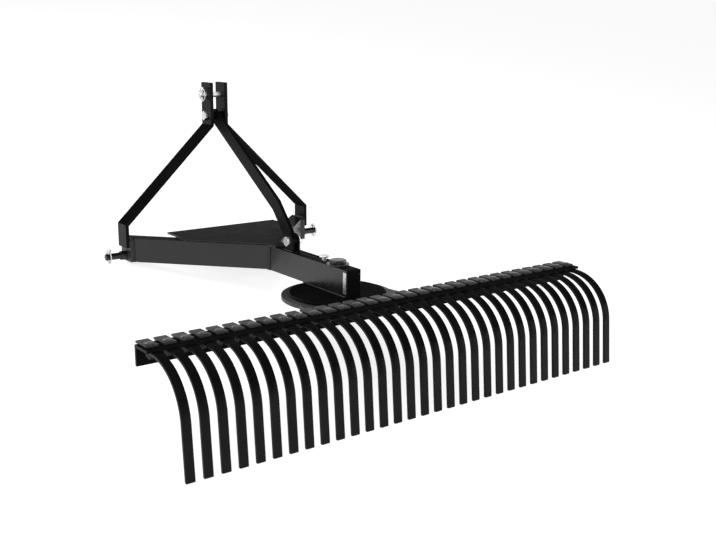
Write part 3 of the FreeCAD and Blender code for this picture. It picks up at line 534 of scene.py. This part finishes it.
def head_welds():
    """The beads that join the swivel plate to the rake bar."""
    form = bmesh.new()
    for foot in (PLATE_TOP, PLATE_TOP - PLATE_THICK):
        bead(form, [(-PLATE_HALF, BAR_FRONT, foot), (PLATE_HALF, BAR_FRONT, foot)], 0.0035, SLOPE)
    piece("head_welds", form, "rake_head", "black_paint")


def painted_highlight_strip():
    """A painted highlight: a thin zinc strip up the tongue's left side at its rear end."""
    form = bmesh.new()
    rear, front, low, high = TONGUE_REAR + 0.001, TONGUE_REAR + 0.017, 0.262, 0.328
    middle_y, middle_z = (rear + front) / 2, (low + high) / 2
    corner, thick, broken_edge = 0.003, 0.0006, 0.0004
    outline = []
    for y, z, quarter in ((front - corner, high - corner, 0), (rear + corner, high - corner, 1),
                          (rear + corner, low + corner, 2), (front - corner, low + corner, 3)):
        for k in range(5):
            angle = math.pi / 2 * (quarter + k / 4)
            outline.append((y + corner * math.cos(angle), z + corner * math.sin(angle)))
    rings = []
    for out, inset in ((0.0, 0.0), (thick * 0.6, 0.0), (thick, broken_edge)):
        rings.append([(-TONGUE_HALF - out, y - math.copysign(inset, y - middle_y),
                       z - math.copysign(inset, z - middle_z)) for y, z in outline])
    skin(form, rings, SLOPE)
    piece("painted_highlight_strip", form, "hitch_frame", "zinc_plate")


def small_pieces():
    tine_bolt_set()
    king_bolt_set()
    cross_bolt("ear_bolt_set", "ear_bolt", y=BRACKET_MIDDLE, z=LOWER_HOLE,
               shank=0.0095, flats=0.0286, head=0.012, half_grip=0.034, stub=0.004)
    cross_bolt("brace_bolt_set", "brace_bolt", y=BRACE_FOOT, z=TUBE_TOP + 0.030,
               shank=0.008, flats=0.027, head=0.011, half_grip=LUG_SIDE, stub=0.004)
    linchpin("linchpin_on_left", "linchpin_left", -LOWER_COTTER, PIN_UP)
    linchpin("linchpin_on_right", "linchpin_right", LOWER_COTTER, PIN_UP)
    linchpin("linchpin_on_top", "top_linchpin", -TOP_COTTER, UPPER_HOLE)
    top_pin()
    lock_knob()
    lower_pin("lower_pin_left", "lower_hitch_pin_left", -1)
    lower_pin("lower_pin_right", "lower_hitch_pin_right", 1)
    frame_welds()
    head_welds()
    # A painted highlight on the tongue's rear end, as a thin zinc strip.
    painted_highlight_strip()


def soften():
    """Broken edges on the plates and bars, rounder corners on the tubes."""
    for node, item in frame["nodes"].items():
        if item.hide_render:
            continue
        is_tube = node.startswith(("tongue_tube", "arm_tube"))
        weld = item.modifiers.new("weld", "WELD")
        weld.merge_threshold = 0.00002
        bevel = item.modifiers.new("corners", "BEVEL")
        bevel.limit_method = "ANGLE"
        bevel.angle_limit = math.radians(50)
        bevel.width = 0.005 if is_tube else 0.0012
        bevel.segments = 3 if is_tube else 2


# ------------------------------------------------------------------ floor and light

WHITE = (1, 1, 1, 1)
FLOOR_GRAY = (0.80, 0.80, 0.80, 1)   # what the floor throws back on the rake
FLOOR_GLOW, FLOOR_SHADE = 0.80, 0.50  # the floor's own white, and how much light adds
ROOM = 0.30                           # the room's light on everything


def backdrop():
    """A pale floor that shows as white, with the rake's soft shadow on it."""
    mesh = bpy.data.meshes.new("floor")
    form = bmesh.new()
    bmesh.ops.create_grid(form, x_segments=8, y_segments=8, size=60)
    form.to_mesh(mesh)
    form.free()
    floor = bpy.data.objects.new("floor", mesh)
    scene.collection.objects.link(floor)
    n = material_nodes("floor_white")
    lit = n.add("BsdfDiffuse", Color=FLOOR_GRAY).outputs[0]
    glow = n.add("Emission", Color=WHITE, Strength=FLOOR_GLOW).outputs[0]
    shade = n.add("BsdfDiffuse", Color=(FLOOR_SHADE, FLOOR_SHADE, FLOOR_SHADE, 1)).outputs[0]
    n.finish(n.join("MixShader", lit, n.join("AddShader", glow, shade), n.seen()))
    mesh.materials.append(n.owner)


def sky():
    """White where it is seen; a dim room as a light."""
    scene.world = bpy.data.worlds.new("studio")
    n = Nodes(scene.world, "OutputWorld")
    room = n.add("Background", Color=WHITE, Strength=ROOM).outputs[0]
    white = n.add("Background", Color=WHITE, Strength=1.0).outputs[0]
    n.finish(n.join("MixShader", room, white, n.seen()))


def lamp(name, place, target, size, power):
    data = bpy.data.lights.new(name, "AREA")
    data.shape = "RECTANGLE"
    data.size, data.size_y = size
    data.energy = power
    item = bpy.data.objects.new(name, data)
    scene.collection.objects.link(item)
    item.location = place
    item.rotation_mode = "QUATERNION"
    item.rotation_quaternion = (Vector(target) - Vector(place)).to_track_quat("-Z", "Y")


def lights():
    lamp("key", (-2.8, -2.6, 2.2), (0, 0, 0.2), (2.2, 1.6), 60)
    lamp("fill", (2.6, -2.4, 1.8), (0, 0, 0.2), (2.0, 1.6), 26)
    lamp("top", (0, 0.3, 3.6), (0, 0, 0), (2.6, 2.6), 30)
    lamp("back", (-1.4, 3.4, 2.2), (0, 0, 0.2), (2.2, 1.6), 50)


aim_camera()
paint_nodes()
small_pieces()
soften()
backdrop()
sky()
lights()

scene.view_settings.view_transform = "Standard"
